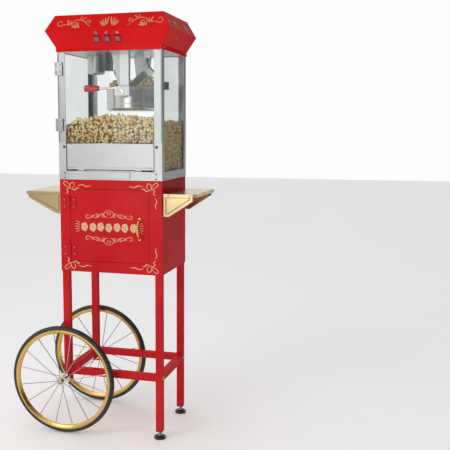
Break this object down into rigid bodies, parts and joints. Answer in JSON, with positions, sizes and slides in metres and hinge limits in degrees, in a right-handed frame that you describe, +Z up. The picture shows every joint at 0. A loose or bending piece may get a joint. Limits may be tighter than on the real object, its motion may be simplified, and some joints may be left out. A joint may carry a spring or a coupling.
{
  "type": "popcorn maker",
  "caption": "Glazed popcorn machine with a tilting kettle, on a red wheeled cart with a cupboard, side shelves and a fold-down front panel.",
  "frame": {"origin": "on the floor under the middle of the whole footprint", "axes": "+Z up, the doors face -Y, the wheels stand at the -X end and the levelling feet at the +X end"},
  "size_m": [0.7124, 0.428, 1.55],
  "materials": {
    "red_paint": "gloss red enamel on sheet steel",
    "gold_plate": "polished",
    "shelf_brass": "polished pale brass plating",
    "stainless": "brushed stainless steel",
    "bright_sheet": "bright satin steel",
    "satin_aluminium": "satin anodised",
    "chrome_plate": "polished chrome",
    "tyre_rubber": "solid rubber tyre",
    "black_plastic": "satin black plastic",
    "clear_glass": "clear tempered glass",
    "red_grip": "gloss red moulded plastic",
    "red_lens": "translucent red rocker",
    "dark_plastic": "dark grey housing",
    "white_plastic": "white heat-proof plastic",
    "lamp_glass": "frosted white glass",
    "black_rubber": "black rubber",
    "popcorn": "loose popped corn"
  },
  "bodies": {
    "root": {"cart_cabinet": "red_paint", "cart_hinge_plates": "red_paint", "cart_legs": "red_paint", "lower_rails": "red_paint", "canopy": "red_paint", "left_shelf": "shelf_brass", "right_shelf": "shelf_brass", "shelf_brackets": "shelf_brass", "machine_base": "stainless", "deck_plate": "stainless", "panel_hinge_tabs": "stainless", "door_hinge_plates": "stainless", "ceiling_plate": "stainless", "rear_arm": "stainless", "front_arm": "bright_sheet", "corner_posts": "satin_aluminium", "lamp_shade": "satin_aluminium", "axle": "chrome_plate", "levelling_feet": "black_plastic", "switch_bezels": "black_plastic", "mains_inlet": "black_plastic", "side_glass": "clear_glass", "rear_glass": "clear_glass", "gear_motor": "dark_plastic", "wiring_box": "dark_plastic", "ceiling_plug": "white_plastic", "lamp": "lamp_glass", "drive_belt": "black_rubber", "kettle_lead": "black_rubber", "popcorn_heap": "popcorn"},
    "front_wheel": {"front_tyre": "tyre_rubber", "front_rim": "gold_plate", "front_spokes": "chrome_plate", "front_hub": "chrome_plate"},
    "rear_wheel": {"rear_tyre": "tyre_rubber", "rear_rim": "gold_plate", "rear_spokes": "chrome_plate", "rear_hub": "chrome_plate"},
    "cupboard_door": {"cart_door": "red_paint", "door_handle": "gold_plate", "cart_hinge_leaves": "red_paint"},
    "case_door": {"glass_door": "clear_glass", "door_hinge_leaves": "stainless"},
    "drop_panel": {"front_panel": "stainless"},
    "drawer": {"kernel_drawer": "stainless"},
    "lamp_rocker": {"lamp_switch": "red_lens"},
    "stir_rocker": {"stir_switch": "red_lens"},
    "heat_rocker": {"heat_switch": "red_lens"},
    "kettle": {"kettle_pot": "stainless", "kettle_base": "stainless", "lid_bridge": "stainless", "clamp_block": "bright_sheet", "handle_rod": "chrome_plate", "handle_grip": "red_grip", "kettle_connector": "dark_plastic"},
    "lid_left": {"left_lid": "stainless"},
    "lid_right": {"right_lid": "stainless"},
    "drive": {"drive_shaft": "stainless"},
    "stirring_blade": {"stirrer": "stainless"},
    "motor_wheel": {"motor_pulley": "stainless"}
  },
  "joints": [
    {"name": "front_wheel_spin", "type": "hinge", "parent": "root", "child": "front_wheel", "pos_m": [-0.15025, -0.183, 0.206], "axis": [0, 1, 0], "continuous": true},
    {"name": "rear_wheel_spin", "type": "hinge", "parent": "root", "child": "rear_wheel", "pos_m": [-0.15025, 0.183, 0.206], "axis": [0, 1, 0], "continuous": true},
    {"name": "cupboard_door_swing", "type": "hinge", "parent": "root", "child": "cupboard_door", "pos_m": [-0.12275, -0.1565, 0.78], "axis": [0, 0, -1], "range_deg": [0, 110]},
    {"name": "glass_door_swing", "type": "hinge", "parent": "root", "child": "case_door", "pos_m": [-0.16825, -0.156, 1.26], "axis": [0, 0, -1], "range_deg": [0, 120]},
    {"name": "front_panel_fold", "type": "hinge", "parent": "root", "child": "drop_panel", "pos_m": [0.03625, -0.1523, 0.996], "axis": [1, 0, 0], "range_deg": [0, 90]},
    {"name": "drawer_slide", "type": "slide", "parent": "root", "child": "drawer", "axis": [0, -1, 0], "range_m": [0, 0.2]},
    {"name": "lamp_switch_rock", "type": "hinge", "parent": "root", "child": "lamp_rocker", "pos_m": [-0.00275, -0.16545, 1.46179], "axis": [-1, 0, 0], "range_deg": [0, 13]},
    {"name": "stir_switch_rock", "type": "hinge", "parent": "root", "child": "stir_rocker", "pos_m": [0.03725, -0.16545, 1.46179], "axis": [-1, 0, 0], "range_deg": [0, 13]},
    {"name": "heat_switch_rock", "type": "hinge", "parent": "root", "child": "heat_rocker", "pos_m": [0.07725, -0.16545, 1.46179], "axis": [-1, 0, 0], "range_deg": [0, 13]},
    {"name": "kettle_tilt", "type": "hinge", "parent": "root", "child": "kettle", "pos_m": [0.07625, 0, 1.279], "axis": [0, 1, 0], "range_deg": [0, 60], "deforming": ["kettle_lead"]},
    {"name": "left_lid_swing", "type": "hinge", "parent": "kettle", "child": "lid_left", "pos_m": [0.06675, 0, 1.3015], "axis": [0, -1, 0], "range_deg": [0, 50]},
    {"name": "right_lid_swing", "type": "hinge", "parent": "kettle", "child": "lid_right", "pos_m": [0.08575, 0, 1.3015], "axis": [0, 1, 0], "range_deg": [0, 50]},
    {"name": "drive_shaft_spin", "type": "hinge", "parent": "kettle", "child": "drive", "pos_m": [0.07625, 0.05, 1.279], "axis": [0, 1, 0], "continuous": true},
    {"name": "stirrer_spin", "type": "hinge", "parent": "kettle", "child": "stirring_blade", "pos_m": [0.07625, 0, 1.27], "axis": [0, 0, 1], "continuous": true},
    {"name": "motor_pulley_spin", "type": "hinge", "parent": "root", "child": "motor_wheel", "pos_m": [0.07625, 0.11, 1.452], "axis": [0, 1, 0], "continuous": true}
  ],
  "couplings": [
    {"joint": "drive_shaft_spin", "follows": "stirrer_spin", "ratio": 2},
    {"joint": "motor_pulley_spin", "follows": "stirrer_spin", "ratio": 2}
  ]
}
